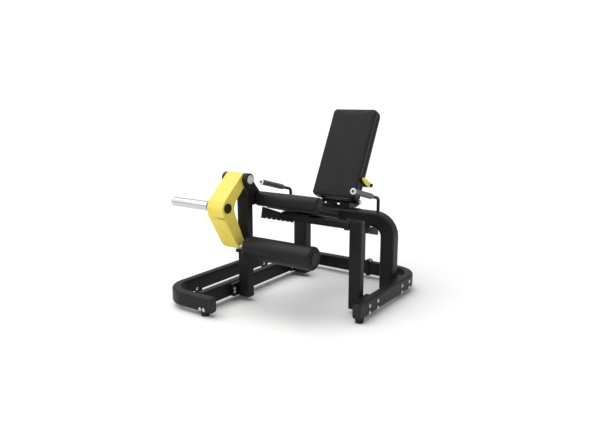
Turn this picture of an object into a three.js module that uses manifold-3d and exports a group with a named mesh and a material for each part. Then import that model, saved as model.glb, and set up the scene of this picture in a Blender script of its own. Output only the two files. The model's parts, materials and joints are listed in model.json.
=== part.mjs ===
// Plate-loaded leg extension machine. Millimetres, +Z up, the user faces -Y.
// Design frame: x = 0 is the middle of the seat, y = 0 the front end of the right base rail, z = 0 the floor.
// The exported group is moved so that the origin is the middle of the footprint, on the floor.
import * as THREE from "three";
import { mergeVertices } from "three/addons/utils/BufferGeometryUtils.js";
import Module from "manifold-3d";

const wasm = await Module();
wasm.setup();

// ---- Driving dimensions ----
const GAP = 0.3; // between pieces that touch
const ROUND = 24; // sides of a full circle

const base = { low: 24, high: 104, width: 50, corner: 12, bend: 130 };
const footprint = { left: -557, right: 476, front: -366, rear: 738, openEnd: -200, joint: 144 };
const railBolt = { y: 177, z: 73, stand: 6 };
const frontBolts = { fromEnd: 64, pitch: 25, radius: 7.5, stand: 5.5 };
const innerRail = { left: -338, right: -288 };
const leftUpright = { left: -264, right: -194, front: -59, rear: -8, top: 538 };
const rightUpright = { left: 338, right: 408, front: 104, rear: 147, top: 492 };
const arch = { width: 84, depth: 76, front: 479, top: 465, bend: 95, leftEnd: -332, rightLeg: 409 };
const leftLeg = { left: -272, right: -184 };
const crossTube = { left: -93, low: 446, high: 484 };
const seatSlope = THREE.MathUtils.degToRad(15);
const seat = {
  width: 300,
  length: 318,
  boardFront: 36,
  boardLow: 520,
  boardThick: 12,
  padThick: 38,
  rollLeft: -183,
  rollRight: 209,
};
const rack = {
  inner: 270,
  thick: 11,
  front: 168,
  rear: 548,
  frontLow: 423,
  frontHigh: 492,
  firstNotch: 45,
  pitch: 46,
  notch: 16,
  notchDeep: 8,
};
const pivot = { y: -60, z: 680, shaft: 15 };
const arm = { left: -308, right: -200 };
const horn = { y: -207, z: 545, radius: 25, tip: -588 };
const roller = { y: -115, z: 332, radius: 60, left: -146, right: 274, axle: 14 };
const backHinge = { y: 592, z: 492, pin: 8, ear: 121 };
const recline = THREE.MathUtils.degToRad(27);
const back = { width: 300, length: 568, padThick: 68, boardThick: 12, y: 492, z: 531 };
const lever = { y: 660, z: 588, x: 157, rod: 7 };
const handle = {
  x: 302,
  y: 495,
  bendHigh: 548,
  reach: 285,
  tube: 9,
  bend: 24,
  grip: 16,
  gripLength: 205,
};

// ---- Materials ----
function material(color, roughness, metalness) {
  return new THREE.MeshStandardMaterial({ color, roughness, metalness });
}
const blackPaint = () => material(0x17181a, 0.42, 0.3);
const yellowPaint = () => material(0xe8d63c, 0.4, 0.1);
const brightSteel = () => material(0xc9cbcd, 0.25, 1);
const blackPlastic = () => material(0x101112, 0.5, 0);
const blackLeather = () => material(0x141415, 0.55, 0);
const blackRubber = () => material(0x0d0d0e, 0.85, 0);
const greyFoam = () => material(0x4a4b4d, 0.8, 0);

// ---- Outlines ----
function roundedRect(x0, y0, x1, y1, corner) {
  const shape = new THREE.Shape();
  const turn = Math.PI / 2;
  shape.absarc(x1 - corner, y0 + corner, corner, -turn, 0, false);
  shape.absarc(x1 - corner, y1 - corner, corner, 0, turn, false);
  shape.absarc(x0 + corner, y1 - corner, corner, turn, 2 * turn, false);
  shape.absarc(x0 + corner, y0 + corner, corner, 2 * turn, 3 * turn, false);
  return shape;
}

function outline(points) {
  return new THREE.Shape(points.map(([u, v]) => new THREE.Vector2(u, v)));
}

// A polygon whose corners are rounded by quadratic curves; each point is [u, v, cut].
function softOutline(points) {
  const corners = points.map(([u, v]) => new THREE.Vector2(u, v));
  const shape = new THREE.Shape();
  corners.forEach((corner, i) => {
    const before = corners[(i + corners.length - 1) % corners.length];
    const after = corners[(i + 1) % corners.length];
    const cut = points[i][2];
    const from = corner.clone().add(before.clone().sub(corner).setLength(cut));
    const to = corner.clone().add(after.clone().sub(corner).setLength(cut));
    if (i === 0) shape.moveTo(from.x, from.y);
    else shape.lineTo(from.x, from.y);
    shape.quadraticCurveTo(corner.x, corner.y, to.x, to.y);
  });
  shape.closePath();
  return shape;
}

// ---- Prisms along each axis; the outline's two coordinates are the two other axes in X, Y, Z order ----
function prism(shape, depth, curveSegments) {
  return new THREE.ExtrudeGeometry(shape, { depth, bevelEnabled: false, curveSegments });
}

function prismX(shape, x0, x1, curveSegments = 2) {
  const toX = new THREE.Matrix4().makeBasis(
    new THREE.Vector3(0, 1, 0),
    new THREE.Vector3(0, 0, 1),
    new THREE.Vector3(1, 0, 0),
  );
  return prism(shape, x1 - x0, curveSegments).applyMatrix4(toX).translate(x0, 0, 0);
}

function prismY(shape, y0, y1, curveSegments = 2) {
  const toY = new THREE.Matrix4().makeBasis(
    new THREE.Vector3(1, 0, 0),
    new THREE.Vector3(0, 0, 1),
    new THREE.Vector3(0, -1, 0),
  );
  return prism(shape, y1 - y0, curveSegments).applyMatrix4(toY).translate(0, y1, 0);
}

function prismZ(shape, z0, z1, curveSegments = 2) {
  return prism(shape, z1 - z0, curveSegments).translate(0, 0, z0);
}

// Radius of a faceted hole in which a faceted shaft turns freely, because the flats clear the corners.
function runningBore(radius, clearance = 0.06) {
  return (radius + clearance) / Math.cos(Math.PI / ROUND);
}

function discX(y, z, radius, x0, x1, sides = ROUND) {
  return new THREE.CylinderGeometry(radius, radius, x1 - x0, sides)
    .rotateZ(-Math.PI / 2)
    .translate((x0 + x1) / 2, y, z);
}

// ---- Paths: straight runs joined by arcs, with a section only where the shape needs one ----
class StationPath extends THREE.Curve {
  constructor(points, bend, steps) {
    super();
    this.stations = [{ at: points[0], along: points[1].clone().sub(points[0]).normalize() }];
    for (let i = 1; i < points.length - 1; i++) {
      this.addBend(points[i - 1], points[i], points[i + 1], bend, steps);
    }
    const last = points.at(-1);
    this.stations.push({ at: last, along: last.clone().sub(points.at(-2)).normalize() });
  }

  addBend(before, corner, after, radius, steps) {
    const into = corner.clone().sub(before).normalize();
    const out = after.clone().sub(corner).normalize();
    const angle = into.angleTo(out);
    const reach = radius * Math.tan(angle / 2);
    const side = out.clone().addScaledVector(into, -into.dot(out)).normalize();
    const centre = corner.clone().addScaledVector(into, -reach).addScaledVector(side, radius);
    for (let i = 0; i <= steps; i++) {
      const turn = (angle * i) / steps;
      this.stations.push({
        at: centre
          .clone()
          .addScaledVector(side, -radius * Math.cos(turn))
          .addScaledVector(into, radius * Math.sin(turn)),
        along: into.clone().multiplyScalar(Math.cos(turn)).addScaledVector(side, Math.sin(turn)),
      });
    }
  }

  station(t) {
    return this.stations[Math.round(t * (this.stations.length - 1))];
  }

  getPointAt(t) {
    return this.station(t).at.clone();
  }

  getTangentAt(t) {
    return this.station(t).along.clone();
  }
}

// Points are [x, y, z]. On a path in the XY plane the section's first side stands upright.
function sweep(section, points, bend, steps = 5, curveSegments = 2) {
  const corners = points.map((p) => new THREE.Vector3(...p));
  const path = new StationPath(corners, bend, steps);
  return new THREE.ExtrudeGeometry(section, {
    extrudePath: path,
    steps: path.stations.length - 1,
    curveSegments,
  });
}

function circleSection(radius) {
  return new THREE.Shape().absarc(0, 0, radius, 0, 2 * Math.PI, false);
}

// ---- Solids ----
function solid(geometry) {
  const bare = geometry.clone();
  bare.deleteAttribute("normal");
  bare.deleteAttribute("uv");
  const merged = mergeVertices(bare, 1e-3);
  return new wasm.Manifold(
    new wasm.Mesh({
      numProp: 3,
      vertProperties: merged.attributes.position.array,
      triVerts: new Uint32Array(merged.index.array),
    }),
  );
}

function geometryOf(body) {
  const mesh = body.getMesh();
  const geometry = new THREE.BufferGeometry();
  geometry.setAttribute("position", new THREE.BufferAttribute(mesh.vertProperties, 3));
  geometry.setIndex(new THREE.BufferAttribute(mesh.triVerts, 1));
  geometry.computeVertexNormals();
  return geometry;
}

function join(...geometries) {
  return geometryOf(geometries.map(solid).reduce((whole, next) => whole.add(next)));
}

function cut(geometry, ...tools) {
  return geometryOf(tools.map(solid).reduce((whole, tool) => whole.subtract(tool), solid(geometry)));
}

const machine = new THREE.Group();

function piece(name, geometry, look, parent = machine) {
  const mesh = new THREE.Mesh(geometry, look);
  mesh.name = name;
  parent.add(mesh);
  return mesh;
}

// ---- Base ----
const baseMiddle = (base.low + base.high) / 2;

function baseSection() {
  const h = (base.high - base.low) / 2;
  const w = base.width / 2;
  return roundedRect(-h, -w, h, w, base.corner);
}

// Heads of the two bolts that hold the front left foot, on the front face of the left loop.
function frontBoltHeads() {
  const { fromEnd, pitch, radius } = frontBolts;
  return [fromEnd, fromEnd - pitch].map((back) =>
    new THREE.CylinderGeometry(radius, radius, frontBolts.stand + 1, 12).translate(
      footprint.openEnd - back,
      footprint.front + (1 - frontBolts.stand) / 2,
      base.low + 14,
    ),
  );
}

function addBase() {
  const half = base.width / 2;
  const left = footprint.left + half;
  const right = footprint.right - half;
  const front = footprint.front + half;
  const rear = footprint.rear - half;
  const flange = 10;
  const leftRoute = [
    [footprint.openEnd, front, baseMiddle],
    [left, front, baseMiddle],
    [left, rear, baseMiddle],
    [footprint.joint - flange / 2, rear, baseMiddle],
  ];
  const rightRoute = [
    [footprint.joint + flange / 2, rear, baseMiddle],
    [right, rear, baseMiddle],
    [right, 0, baseMiddle],
  ];
  const plate = roundedRect(rear - half - 6, base.low - 8, rear + half - 1, base.high + 12, 8);
  const leftFlange = prismX(plate, footprint.joint - flange, footprint.joint - GAP / 2);
  const rightFlange = prismX(plate, footprint.joint + GAP / 2, footprint.joint + flange);
  const leftTube = sweep(baseSection(), leftRoute, base.bend);
  piece("left_base_loop", join(leftTube, leftFlange, ...frontBoltHeads()), blackPaint());
  piece("right_base_rail", join(sweep(baseSection(), rightRoute, base.bend), rightFlange), blackPaint());
  const railShape = roundedRect(innerRail.left, base.low, innerRail.right, base.high, base.corner);
  const railRear = footprint.rear - base.width - GAP;
  const railFront = footprint.front + base.width + GAP;
  piece("inner_base_rail", prismY(railShape, railFront, railRear), blackPaint());
}

function addFeet() {
  const inset = 3;
  const half = base.width / 2;
  const left = footprint.left + half;
  const right = footprint.right - half;
  const feet = {
    front_left_foot: [footprint.openEnd - 51, footprint.front + half],
    left_middle_foot: [left, -102],
    front_right_foot: [right, 26],
    rear_right_foot: [288, footprint.rear - half],
    rear_left_foot: [left, 515],
  };
  const tall = base.low - GAP;
  for (const [name, [x, y]] of Object.entries(feet)) {
    const round = new THREE.CylinderGeometry(half - inset, half - inset, tall, ROUND);
    piece(name, round.rotateX(Math.PI / 2).translate(x, y, tall / 2), blackRubber());
  }
  const cap = 4;
  const frontCap = roundedRect(right - half, base.low, footprint.right, base.high, base.corner);
  piece("right_rail_end_cap", prismY(frontCap, -cap, -GAP), blackPlastic());
  const low = footprint.front;
  const endCap = roundedRect(low, base.low, low + base.width, base.high, base.corner);
  const endFrom = footprint.openEnd + GAP;
  piece("left_loop_end_cap", prismX(endCap, endFrom, footprint.openEnd + cap), blackPlastic());
}

// ---- Uprights, arch and beams ----
function addUprights() {
  const corner = 7;
  const l = leftUpright;
  const r = rightUpright;
  const leftShape = roundedRect(l.left, l.front, l.right, l.rear, corner);
  const rightShape = roundedRect(r.left, r.front, r.right, r.rear, corner);
  piece("left_upright", prismZ(leftShape, base.low, l.top), blackPaint());
  piece("right_upright", prismZ(rightShape, base.low, r.top), blackPaint());
  const baseInner = footprint.right - base.width;
  const plates = {
    left_upright_flange: [innerRail.right, l.left, l.front - 44, l.rear + 34],
    right_upright_flange: [r.right, baseInner, r.front - 30, r.rear + 30],
    right_leg_flange: [arch.rightLeg, baseInner, arch.front - 21, arch.front + arch.depth + 23],
    left_leg_flange: [innerRail.right, leftLeg.left, arch.front - 21, arch.front + arch.depth + 23],
  };
  for (const [name, [x0, x1, y0, y1]] of Object.entries(plates)) {
    const plate = roundedRect(y0, base.low + 4, y1, base.high - 4, 6);
    piece(name, prismX(plate, x0 + GAP, x1 - GAP), blackPaint());
  }
  const t = crossTube;
  const tube = roundedRect(r.front, t.low, r.rear, t.high, 5);
  const riser = roundedRect(t.left + 4, r.front + 4, -t.left, r.rear - 4, 4);
  const risen = prismZ(riser, t.high - 1, boardLow(r.rear - 4) - 1);
  piece("front_cross_tube", join(prismX(tube, t.left, r.left - GAP), risen), blackPaint());
}

function addArch() {
  const wide = arch.width / 2;
  const deep = arch.depth / 2;
  const y = arch.front + deep;
  const section = roundedRect(-deep, -wide, deep, wide, 14);
  const legX = arch.rightLeg - wide;
  const topZ = arch.top - wide;
  const route = [
    [legX, y, base.low],
    [legX, y, topZ],
    [arch.leftEnd, y, topZ],
  ];
  piece("arch_frame", sweep(section, route, arch.bend, 7, 3), blackPaint());
  const capShape = roundedRect(arch.front, arch.top - arch.width, arch.front + arch.depth, arch.top, 14);
  piece("arch_end_cap", prismX(capShape, arch.leftEnd - 4, arch.leftEnd - GAP), blackPlastic());
  const under = arch.top - arch.width - GAP;
  const rear = arch.front + arch.depth;
  const leg = roundedRect(leftLeg.left, arch.front, leftLeg.right, rear, 14);
  piece("left_leg", prismZ(leg, base.low, under), blackPaint());
}

function addRearColumn() {
  const column = { left: 40, right: 104, deep: 46 };
  const y = footprint.rear - base.width / 2;
  const x = (column.left + column.right) / 2;
  const z = arch.top - arch.width / 2;
  const section = roundedRect(-column.deep / 2, x - column.right, column.deep / 2, column.right - x, 8);
  const route = [
    [x, y, base.high + GAP],
    [x, y, z],
    [x, arch.front + arch.depth + GAP, z],
  ];
  piece("rear_column", sweep(section, route, 80), blackPaint());
}

// ---- Seat ----
// Height of the underside of the seat board, which falls towards the back.
function boardLow(y) {
  return seat.boardLow - (y - seat.boardFront) * Math.tan(seatSlope);
}

function tilted(geometry, y, z, angle) {
  return geometry.rotateX(-angle).translate(0, y, z);
}

function addSeat() {
  const half = seat.width / 2;
  const spineHalf = 30;
  const spineDrop = 40;
  const front = rightUpright.rear + GAP;
  const rear = arch.front - GAP;
  const spine = outline([
    [front, boardLow(front) - 2],
    [front, boardLow(front) - 2 - spineDrop],
    [rear, arch.top - arch.width + 4],
    [rear, arch.top - arch.width + 40],
    [boardRear() + 20, boardLow(boardRear() + 20) - 2],
  ]);
  piece("seat_spine", prismX(spine, -spineHalf, spineHalf), blackPaint());
  const corner = 30;
  const board = prismZ(roundedRect(-half, 0, half, seat.length, corner), 0, seat.boardThick);
  piece("seat_board", tilted(board, seat.boardFront, seat.boardLow, seatSlope), blackPaint());
  const edge = 6;
  const padFront = 34;
  const padShape = roundedRect(-half + edge, padFront, half - edge, seat.length - 2, corner);
  const pad = new THREE.ExtrudeGeometry(padShape, {
    depth: seat.padThick - 2 * edge,
    bevelThickness: edge,
    bevelSize: edge,
    bevelSegments: 2,
    curveSegments: 3,
  }).translate(0, 0, seat.boardThick + GAP + edge);
  piece("seat_pad", tilted(pad, seat.boardFront, seat.boardLow, seatSlope), blackLeather());
  const roll = softOutline([
    [-6, 548, 12],
    [-4, 598, 20],
    [30, 612, 16],
    [60, 596, 16],
    [65, 556, 12],
    [52, 540, 4],
    [34, 536, 2],
    [31, 527, 3],
    [6, 530, 9],
  ]);
  piece("front_roll_pad", prismX(roll, seat.rollLeft, seat.rollRight, 3), blackLeather());
}

function boardRear() {
  return seat.boardFront + seat.length * Math.cos(seatSlope);
}

// Toothed side plates under the seat: the lower edge is a row of round notches.
function addRacks() {
  const fall = Math.tan(seatSlope);
  const low = (y) => rack.frontLow - (y - rack.front) * fall;
  const underArch = arch.top - arch.width - 2;
  const archHigh = (rack.frontHigh - underArch) / (arch.front - rack.front);
  const high = (y) => rack.frontHigh - (y - rack.front) * archHigh;
  const plates = [
    ["left_rack", -rack.inner - rack.thick, arch.front - GAP],
    ["right_rack", rack.inner, rack.rear],
  ];
  for (const [name, x, rear] of plates) {
    const blank = outline([
      [rack.front, low(rack.front)],
      [rear, low(rear)],
      [rear, underArch],
      [arch.front - GAP, underArch],
      [rack.front + 14, high(rack.front + 14)],
    ]);
    const notches = [];
    for (let y = rack.front + rack.firstNotch; y < rear - 20; y += rack.pitch) {
      const middle = low(y) - rack.notch + rack.notchDeep;
      notches.push(discX(y, middle, rack.notch, x - 1, x + rack.thick + 1, ROUND));
    }
    piece(name, cut(prismX(blank, x, x + rack.thick), ...notches), blackPaint());
  }
}

// ---- Pivot tower and arm ----
function addTower() {
  const l = leftUpright;
  const plate = softOutline([
    [l.front + 1, l.top + GAP, 1],
    [40, l.top + GAP, 3],
    [40, 604, 6],
    [pivot.y + 34, pivot.z - 2, 10],
    [pivot.y + 22, pivot.z + 32, 14],
    [pivot.y - 22, pivot.z + 32, 14],
    [pivot.y - 34, pivot.z - 8, 14],
    [l.front + 1, 596, 10],
  ]);
  const cheek = prismX(plate, l.right, l.right + 10);
  const seatBlock = prismX(
    softOutline([
      [l.front + 1, l.top + GAP, 1],
      [l.rear, l.top + GAP, 1],
      [l.rear, 630, 4],
      [l.front + 1, 630, 4],
    ]),
    l.left + 2,
    l.right + 1,
  );
  const boss = discX(pivot.y, pivot.z, 33, l.right - 1, l.right + 24);
  const hole = discX(pivot.y, pivot.z, pivot.shaft + GAP, l.right - 10, l.right + 40);
  piece("pivot_tower", cut(join(cheek, seatBlock, boss), hole), blackPaint());
  const capStart = l.right + 24 + GAP;
  piece("pivot_shaft", discX(pivot.y, pivot.z, pivot.shaft, arm.left - 8, capStart - GAP), brightSteel());
  piece("pivot_cap", discX(pivot.y, pivot.z, 24, capStart, capStart + 5), brightSteel());
  piece("pivot_end_disc", discX(pivot.y, pivot.z, 32, arm.left - 32, arm.left - 8 - GAP), blackPlastic());
  const stop = { x0: -262, x1: -214, low: 278, high: 296, reach: 22 };
  const bracket = roundedRect(stop.x0, stop.low, stop.x1, stop.high, 3);
  piece("stop_bracket", prismY(bracket, l.front - stop.reach, l.front - GAP), blackPaint());
}

function addArm() {
  const swing = new THREE.Group();
  machine.add(swing);
  const profile = softOutline([
    [-77, 716, 14],
    [-229, 582, 6],
    [-249, 541, 16],
    [-232, 494, 8],
    [-128, 320, 10],
    [-96, 306, 12],
    [-72, 332, 10],
    [-93, 378, 8],
    [-150, 508, 8],
    [-157, 540, 12],
    [-142, 572, 10],
    [-72, 640, 10],
    [-24, 662, 20],
    [-30, 706, 20],
  ]);
  const body = prismX(profile, arm.left, arm.right, 4);
  const bore = discX(pivot.y, pivot.z, 24 + GAP, arm.left - 1, arm.right + 1);
  const hornBore = discX(horn.y, horn.z, 12 + GAP, arm.left - 1, arm.right + 1);
  const axleBore = discX(roller.y, roller.z, roller.axle + GAP, -240, arm.right + 1);
  piece("swing_arm", cut(body, bore, hornBore, axleBore), yellowPaint(), swing);
  for (const [name, x0, x1] of [
    ["left_bearing", arm.left + 4, arm.left + 26],
    ["right_bearing", arm.right - 26, arm.right - 4],
  ]) {
    const ring = cut(
      discX(pivot.y, pivot.z, 24, x0, x1),
      discX(pivot.y, pivot.z, runningBore(pivot.shaft), x0 - 1, x1 + 1),
    );
    piece(name, ring, brightSteel(), swing);
  }
  addHorn(swing);
  piece("roller_axle", discX(roller.y, roller.z, roller.axle, -238, roller.right - 8), brightSteel(), swing);
}

function addHorn(swing) {
  const collarStart = arm.left - 10;
  const tube = discX(horn.y, horn.z, horn.radius, horn.tip + 6, arm.left - GAP);
  const tip = discX(horn.y, horn.z, horn.radius - 4, horn.tip, horn.tip + 7);
  const shank = discX(horn.y, horn.z, 12, arm.left - 6, arm.right);
  piece("weight_horn", join(tube, tip, shank), brightSteel(), swing);
  const hole = discX(horn.y, horn.z, horn.radius + GAP, collarStart - 1, arm.left + 1);
  const ring = cut(discX(horn.y, horn.z, 34, collarStart, arm.left - GAP), hole);
  piece("horn_collar", ring, blackPlastic(), swing);
  const cap = discX(horn.y, horn.z, 26, arm.right + GAP, arm.right + 7);
  const dish = discX(horn.y, horn.z, 15, arm.right + 4, arm.right + 9);
  piece("arm_cap", cut(cap, dish), blackPlastic(), swing);
}

function addRoller() {
  const spin = new THREE.Group();
  machine.add(spin);
  const { y, z, radius, left, right } = roller;
  const edge = 9;
  const profile = [
    [19, 0],
    [radius - edge, 0],
    [radius - 2, 3],
    [radius, edge],
    [radius, right - left - edge],
    [radius - 2, right - left - 3],
    [radius - edge, right - left],
    [19, right - left],
    [19, 0],
  ].map(([r, h]) => new THREE.Vector2(r, h));
  const pad = new THREE.LatheGeometry(profile, 32).rotateZ(-Math.PI / 2).translate(left, y, z);
  piece("roller_pad", pad, blackLeather(), spin);
  const sleeve = cut(
    discX(y, z, 19 - GAP, left + 1, right - 1),
    discX(y, z, runningBore(roller.axle), left - 1, right + 2),
  );
  piece("roller_sleeve", sleeve, blackPlastic(), spin);
  piece("roller_end_disc", discX(y, z, 35, right + GAP, right + 6), blackPlastic(), spin);
}

// ---- Backrest ----
// Places a geometry made upright on the reclined pad: x across, y from the front face back, z up the pad.
function reclined(geometry) {
  return geometry.rotateX(-recline).translate(0, back.y, back.z);
}

function addBackrestMount() {
  const y0 = arch.front + 6;
  const y1 = arch.front + arch.depth - 2;
  const low = arch.top + GAP;
  const { ear } = backHinge;
  const ear2 = ear - 12;
  const foot = prismZ(roundedRect(-ear, y0, ear, y1, 4), low, low + 8);
  const posts = [
    [-38, 24],
    [54, ear],
  ].map(([x0, x1]) => prismZ(roundedRect(x0, y0, x1, y0 + 34, 6), low + 1, low + 36));
  const side = softOutline([
    [y0 + 1, low + 1, 2],
    [backHinge.y - 8, low + 1, 8],
    [backHinge.y + 20, backHinge.z - 12, 12],
    [backHinge.y + 14, backHinge.z + 18, 12],
    [backHinge.y - 14, backHinge.z + 14, 8],
    [backHinge.y - 25, backHinge.z - 8, 6],
    [y0 + 34, low + 34, 10],
    [y0 + 1, low + 34, 6],
  ]);
  const hole = discX(backHinge.y, backHinge.z, runningBore(backHinge.pin), -200, 200);
  const right = prismX(side, ear2, ear);
  const left = prismX(side, -ear, -ear2);
  piece("backrest_bracket", cut(join(foot, ...posts, right, left), hole), blackPaint());
  piece("hinge_pin", discX(backHinge.y, backHinge.z, backHinge.pin, -ear - 16, ear + 18), brightSteel());
  const collar = discX(backHinge.y, backHinge.z, 15, ear + GAP, ear + 16);
  const bore = discX(backHinge.y, backHinge.z, backHinge.pin + GAP, ear - 1, ear + 17);
  piece("hinge_collar_right", cut(collar, bore), brightSteel());
}

function addBackrest() {
  const tilt = new THREE.Group();
  machine.add(tilt);
  const half = back.width / 2;
  const edge = 12;
  const padShape = roundedRect(-half + edge, edge, half - edge, back.length - edge, 14);
  const pad = new THREE.ExtrudeGeometry(padShape, {
    depth: back.padThick - 2 * edge,
    bevelThickness: edge,
    bevelSize: edge,
    bevelSegments: 2,
    curveSegments: 3,
  });
  const upright = pad.rotateX(Math.PI / 2).translate(0, back.padThick - edge, 0);
  piece("backrest_pad", reclined(upright), blackLeather(), tilt);
  const boardFront = back.padThick + GAP;
  const boardRear = boardFront + back.boardThick;
  const board = prismY(roundedRect(-half + 8, 8, half - 8, back.length - 8, 20), boardFront, boardRear);
  piece("backrest_board", reclined(board), blackPlastic(), tilt);
  const stem = reclined(prismY(roundedRect(-30, 6, 30, 400, 6), boardRear + GAP, boardRear + 38));
  const knuckle = discX(backHinge.y, backHinge.z, 17, -backHinge.ear + 14, backHinge.ear - 14);
  const web = prismX(
    outline([
      [backHinge.y - 10, backHinge.z - 8],
      [backHinge.y + 14, backHinge.z - 8],
      [backHinge.y + 52, backHinge.z + 62],
      [backHinge.y + 22, backHinge.z + 62],
    ]),
    -26,
    26,
  );
  const bore = discX(backHinge.y, backHinge.z, runningBore(backHinge.pin), -200, 200);
  const padSpace = reclined(prismY(roundedRect(-200, -60, 200, 600, 5), -100, boardRear + GAP));
  piece("backrest_stem", cut(join(stem, knuckle, web), bore, padSpace), blackPaint(), tilt);
  const guide = { x0: 34, x1: 148, outer: 13 };
  const tube = join(
    discX(lever.y, lever.z, guide.outer, guide.x0, guide.x1),
    prismX(roundedRect(lever.y - 34, lever.z - 9, lever.y, lever.z + 9, 2), 60, 132),
  );
  const rodBore = discX(lever.y, lever.z, runningBore(lever.rod), 20, 160);
  piece("lever_guide", cut(tube, rodBore, padSpace, stemSpace()), blackPaint(), tilt);
}

function stemSpace() {
  return prismX(roundedRect(500, 480, 900, 900, 5), -60, 30 + GAP);
}

function addLever() {
  const release = new THREE.Group();
  machine.add(release);
  const { y, z, x } = lever;
  const paddle = softOutline([
    [y + 12, z - 14, 8],
    [y + 14, z + 8, 9],
    [y - 84, z + 60, 9],
    [y - 98, z + 44, 9],
    [y - 62, z + 14, 20],
    [y - 10, z - 12, 8],
  ]);
  piece("lever_paddle", prismX(paddle, x, x + 10), yellowPaint(), release);
  piece("lever_rod", discX(y, z, lever.rod, 36, x - GAP), brightSteel(), release);
  piece("lever_knob", discX(y, z, 11, x + 10 + GAP, x + 20), blackPlastic(), release);
}

// ---- Hand grips ----
function addHandles() {
  const rise = Math.tan(seatSlope);
  for (const [side, x] of [["left", -handle.x], ["right", handle.x]]) {
    const tip = [x, handle.y - handle.reach, handle.bendHigh + handle.reach * rise];
    const foot = [x, handle.y, arch.top + GAP];
    const bend = [x, handle.y, handle.bendHigh];
    const tubeEnd = new THREE.Vector3(...tip);
    const along = new THREE.Vector3(...bend).sub(tubeEnd).normalize();
    const tube = sweep(circleSection(handle.tube), [foot, bend, tip], handle.bend, 6, 12);
    piece(side + "_handle_tube", tube, blackPaint());
    const start = tubeEnd.clone().addScaledVector(along, 1);
    const stop = tubeEnd.clone().addScaledVector(along, handle.gripLength);
    const outer = sweep(circleSection(handle.grip), [start.toArray(), stop.toArray()], 0, 1, 12);
    const far = stop.clone().addScaledVector(along, 20);
    const near = start.clone().addScaledVector(along, -20);
    const bore = sweep(circleSection(handle.tube + GAP), [near.toArray(), far.toArray()], 0, 1, 12);
    piece(side + "_grip", cut(outer, bore), greyFoam());
    const capBack = tubeEnd.clone().addScaledVector(along, -GAP);
    const capFront = tubeEnd.clone().addScaledVector(along, -9);
    const cap = sweep(circleSection(handle.grip + 1.5), [capBack.toArray(), capFront.toArray()], 0, 1, 12);
    piece(side + "_grip_cap", cap, brightSteel());
  }
}

// A bolt through the right rail into the flange of the right upright, with its washer.
function addRailBolt() {
  const face = footprint.right + GAP;
  const washer = discX(railBolt.y, railBolt.z, 10, face, face + 1.5);
  const head = discX(railBolt.y, railBolt.z, 7.5, face + 1, face + railBolt.stand, 12);
  piece("right_rail_bolt", join(washer, head), brightSteel());
}

addBase();
addRailBolt();
addFeet();
addUprights();
addArch();
addRearColumn();
addSeat();
addRacks();
addTower();
addArm();
addRoller();
addBackrestMount();
addBackrest();
addLever();
addHandles();

// The origin goes to the middle of the footprint of the whole machine, on the floor.
machine.updateMatrixWorld(true);
const box = new THREE.Box3().setFromObject(machine, true);
const middle = box.getCenter(new THREE.Vector3());
machine.position.set(-middle.x, -middle.y, -box.min.z);

export default machine;
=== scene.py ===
import json
import math

import bmesh
import bpy
from mathutils import Matrix, Vector
from mathutils.bvhtree import BVHTree


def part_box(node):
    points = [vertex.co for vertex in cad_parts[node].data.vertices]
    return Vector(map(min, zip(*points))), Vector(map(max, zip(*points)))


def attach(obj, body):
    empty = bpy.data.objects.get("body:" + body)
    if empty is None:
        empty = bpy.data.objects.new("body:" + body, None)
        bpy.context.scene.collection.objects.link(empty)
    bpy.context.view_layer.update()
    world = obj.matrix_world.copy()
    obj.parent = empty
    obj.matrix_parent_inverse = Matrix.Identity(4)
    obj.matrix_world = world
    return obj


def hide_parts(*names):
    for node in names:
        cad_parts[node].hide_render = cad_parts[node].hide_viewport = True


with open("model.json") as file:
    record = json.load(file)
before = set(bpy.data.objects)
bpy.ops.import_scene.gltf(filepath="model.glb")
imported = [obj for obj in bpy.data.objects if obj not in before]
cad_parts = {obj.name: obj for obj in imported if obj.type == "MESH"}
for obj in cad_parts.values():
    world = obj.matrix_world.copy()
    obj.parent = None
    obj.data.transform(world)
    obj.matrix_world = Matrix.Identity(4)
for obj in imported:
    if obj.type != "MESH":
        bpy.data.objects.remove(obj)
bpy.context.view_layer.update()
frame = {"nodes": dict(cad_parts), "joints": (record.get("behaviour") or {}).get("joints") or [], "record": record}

scene = bpy.context.scene

# ---- Where things are. Metres: x from the middle of the seat, y from the front end of the right rail ----


def low(node):
    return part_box(node)[0]


def high(node):
    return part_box(node)[1]


def middle(node):
    return (low(node) + high(node)) / 2


SEAT_X = middle("seat_pad").x
RAIL_Y = low("right_base_rail").y


def at(x, y, z):
    return Vector((SEAT_X + x, RAIL_Y + y, z))


def joint_at(name):
    return Vector(next(j for j in frame["joints"] if j["name"] == name)["pos_m"])


PIVOT = joint_at("arm_swing")
ROLLER = joint_at("roller_spin")
HINGE = joint_at("backrest_recline")
LEVER = joint_at("lever_release")
SEAT_SLOPE = math.radians(15)
RECLINE = math.radians(27)

# ---- Materials ----


def material(name, color, roughness, metallic=0.0, specular=0.5):
    look = bpy.data.materials.new(name)
    look.use_nodes = True
    shader = look.node_tree.nodes["Principled BSDF"]
    shader.inputs["Base Color"].default_value = (*color, 1)
    shader.inputs["Roughness"].default_value = roughness
    shader.inputs["Metallic"].default_value = metallic
    shader.inputs["Specular IOR Level"].default_value = specular
    return look


def add(look, kind, **values):
    node = look.node_tree.nodes.new(kind)
    for key, value in values.items():
        if hasattr(node, key):
            setattr(node, key, value)
        else:
            node.inputs[key].default_value = value
    return node


def link(look, source, target):
    look.node_tree.links.new(source, target)


def place(look):
    return add(look, "ShaderNodeTexCoord").outputs["Object"]


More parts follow.
